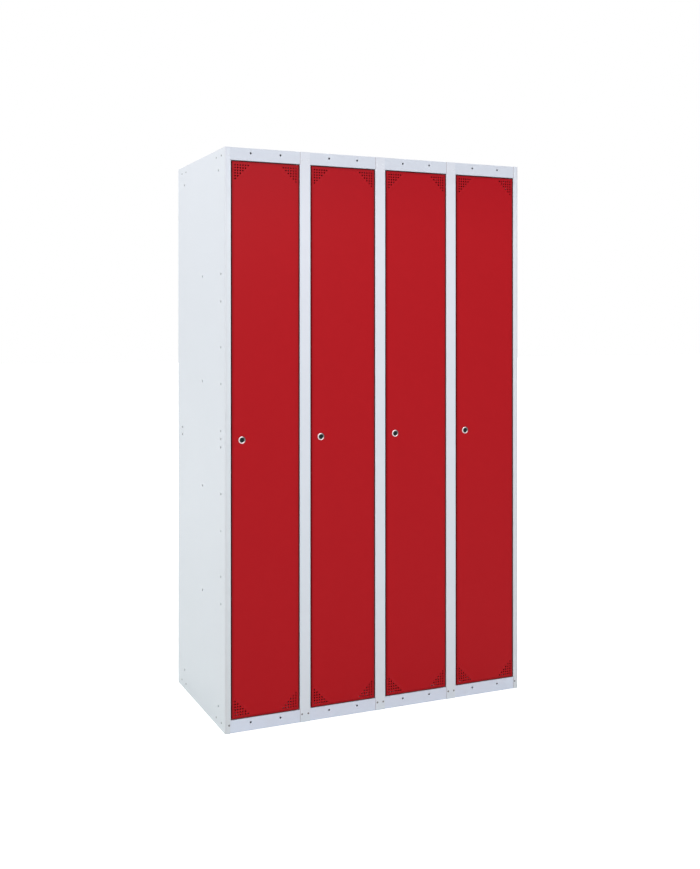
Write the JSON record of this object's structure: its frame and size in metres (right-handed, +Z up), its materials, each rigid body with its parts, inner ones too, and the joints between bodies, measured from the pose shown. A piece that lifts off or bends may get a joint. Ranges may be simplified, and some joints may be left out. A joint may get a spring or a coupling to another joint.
{
  "type": "clothes locker",
  "caption": "Free-standing painted steel clothes locker with tall lockable doors side by side, each bay with a hat shelf and a coat rail.",
  "frame": {"origin": "middle of the footprint, on the floor", "axes": "+Z up, the doors face -Y, +X to the right seen from the front"},
  "size_m": [1.0018, 0.502, 1.7],
  "materials": {
    "body_paint": "light grey powder coat, semi-matte",
    "door_paint": "red powder coat, semi-matte",
    "zinc_plate": "bright zinc plate",
    "rivet_steel": "plain blind rivets",
    "lock_chrome": "polished chrome",
    "lock_plug": "dark plated die casting",
    "pivot_steel": "black phosphated steel",
    "bush_nylon": "black nylon",
    "buffer_rubber": "matt rubber"
  },
  "bodies": {
    "carcass": {"left_side_panel": "body_paint", "right_side_panel": "body_paint", "back_panel": "body_paint", "rail_sockets": "zinc_plate", "frame_rivets": "rivet_steel", "panel_rivets": "rivet_steel", "hinge_pins": "pivot_steel", "door_buffers": "buffer_rubber", "partition_1": "body_paint", "mullion_1": "body_paint", "partition_2": "body_paint", "mullion_2": "body_paint", "partition_3": "body_paint", "mullion_3": "body_paint", "top_panel_1": "body_paint", "base_panel_1": "body_paint", "shelf_1": "body_paint", "coat_rail_1": "zinc_plate", "top_panel_2": "body_paint", "base_panel_2": "body_paint", "shelf_2": "body_paint", "coat_rail_2": "zinc_plate", "top_panel_3": "body_paint", "base_panel_3": "body_paint", "shelf_3": "body_paint", "coat_rail_3": "zinc_plate", "top_panel_4": "body_paint", "base_panel_4": "body_paint", "shelf_4": "body_paint", "coat_rail_4": "zinc_plate"},
    "door_1": {"door_1": "door_paint", "door_stiffener_1": "door_paint", "hinge_bushes_1": "bush_nylon", "lock_housing_1": "lock_chrome", "lock_nut_1": "zinc_plate"},
    "lock_1": {"lock_plug_1": "lock_plug", "lock_cam_1": "zinc_plate"},
    "door_2": {"door_2": "door_paint", "door_stiffener_2": "door_paint", "hinge_bushes_2": "bush_nylon", "lock_housing_2": "lock_chrome", "lock_nut_2": "zinc_plate"},
    "lock_2": {"lock_plug_2": "lock_plug", "lock_cam_2": "zinc_plate"},
    "door_3": {"door_3": "door_paint", "door_stiffener_3": "door_paint", "hinge_bushes_3": "bush_nylon", "lock_housing_3": "lock_chrome", "lock_nut_3": "zinc_plate"},
    "lock_3": {"lock_plug_3": "lock_plug", "lock_cam_3": "zinc_plate"},
    "door_4": {"door_4": "door_paint", "door_stiffener_4": "door_paint", "hinge_bushes_4": "bush_nylon", "lock_housing_4": "lock_chrome", "lock_nut_4": "zinc_plate"},
    "lock_4": {"lock_plug_4": "lock_plug", "lock_cam_4": "zinc_plate"}
  },
  "joints": [
    {"name": "door_hinge_1", "type": "hinge", "parent": "carcass", "child": "door_1", "pos_m": [-0.2795, -0.2445, 0.85], "axis": [0, 0, 1], "range_deg": [0, 110]},
    {"name": "lock_turn_1", "type": "hinge", "parent": "door_1", "child": "lock_1", "pos_m": [-0.449, -0.249, 0.849], "axis": [0, -1, 0], "range_deg": [0, 90]},
    {"name": "door_hinge_2", "type": "hinge", "parent": "carcass", "child": "door_2", "pos_m": [-0.0295, -0.2445, 0.85], "axis": [0, 0, 1], "range_deg": [0, 110]},
    {"name": "lock_turn_2", "type": "hinge", "parent": "door_2", "child": "lock_2", "pos_m": [-0.199, -0.249, 0.849], "axis": [0, -1, 0], "range_deg": [0, 90]},
    {"name": "door_hinge_3", "type": "hinge", "parent": "carcass", "child": "door_3", "pos_m": [0.2205, -0.2445, 0.85], "axis": [0, 0, 1], "range_deg": [0, 110]},
    {"name": "lock_turn_3", "type": "hinge", "parent": "door_3", "child": "lock_3", "pos_m": [0.051, -0.249, 0.849], "axis": [0, -1, 0], "range_deg": [0, 90]},
    {"name": "door_hinge_4", "type": "hinge", "parent": "carcass", "child": "door_4", "pos_m": [0.4705, -0.2445, 0.85], "axis": [0, 0, 1], "range_deg": [0, 110]},
    {"name": "lock_turn_4", "type": "hinge", "parent": "door_4", "child": "lock_4", "pos_m": [0.301, -0.249, 0.849], "axis": [0, -1, 0], "range_deg": [0, 90]}
  ]
}
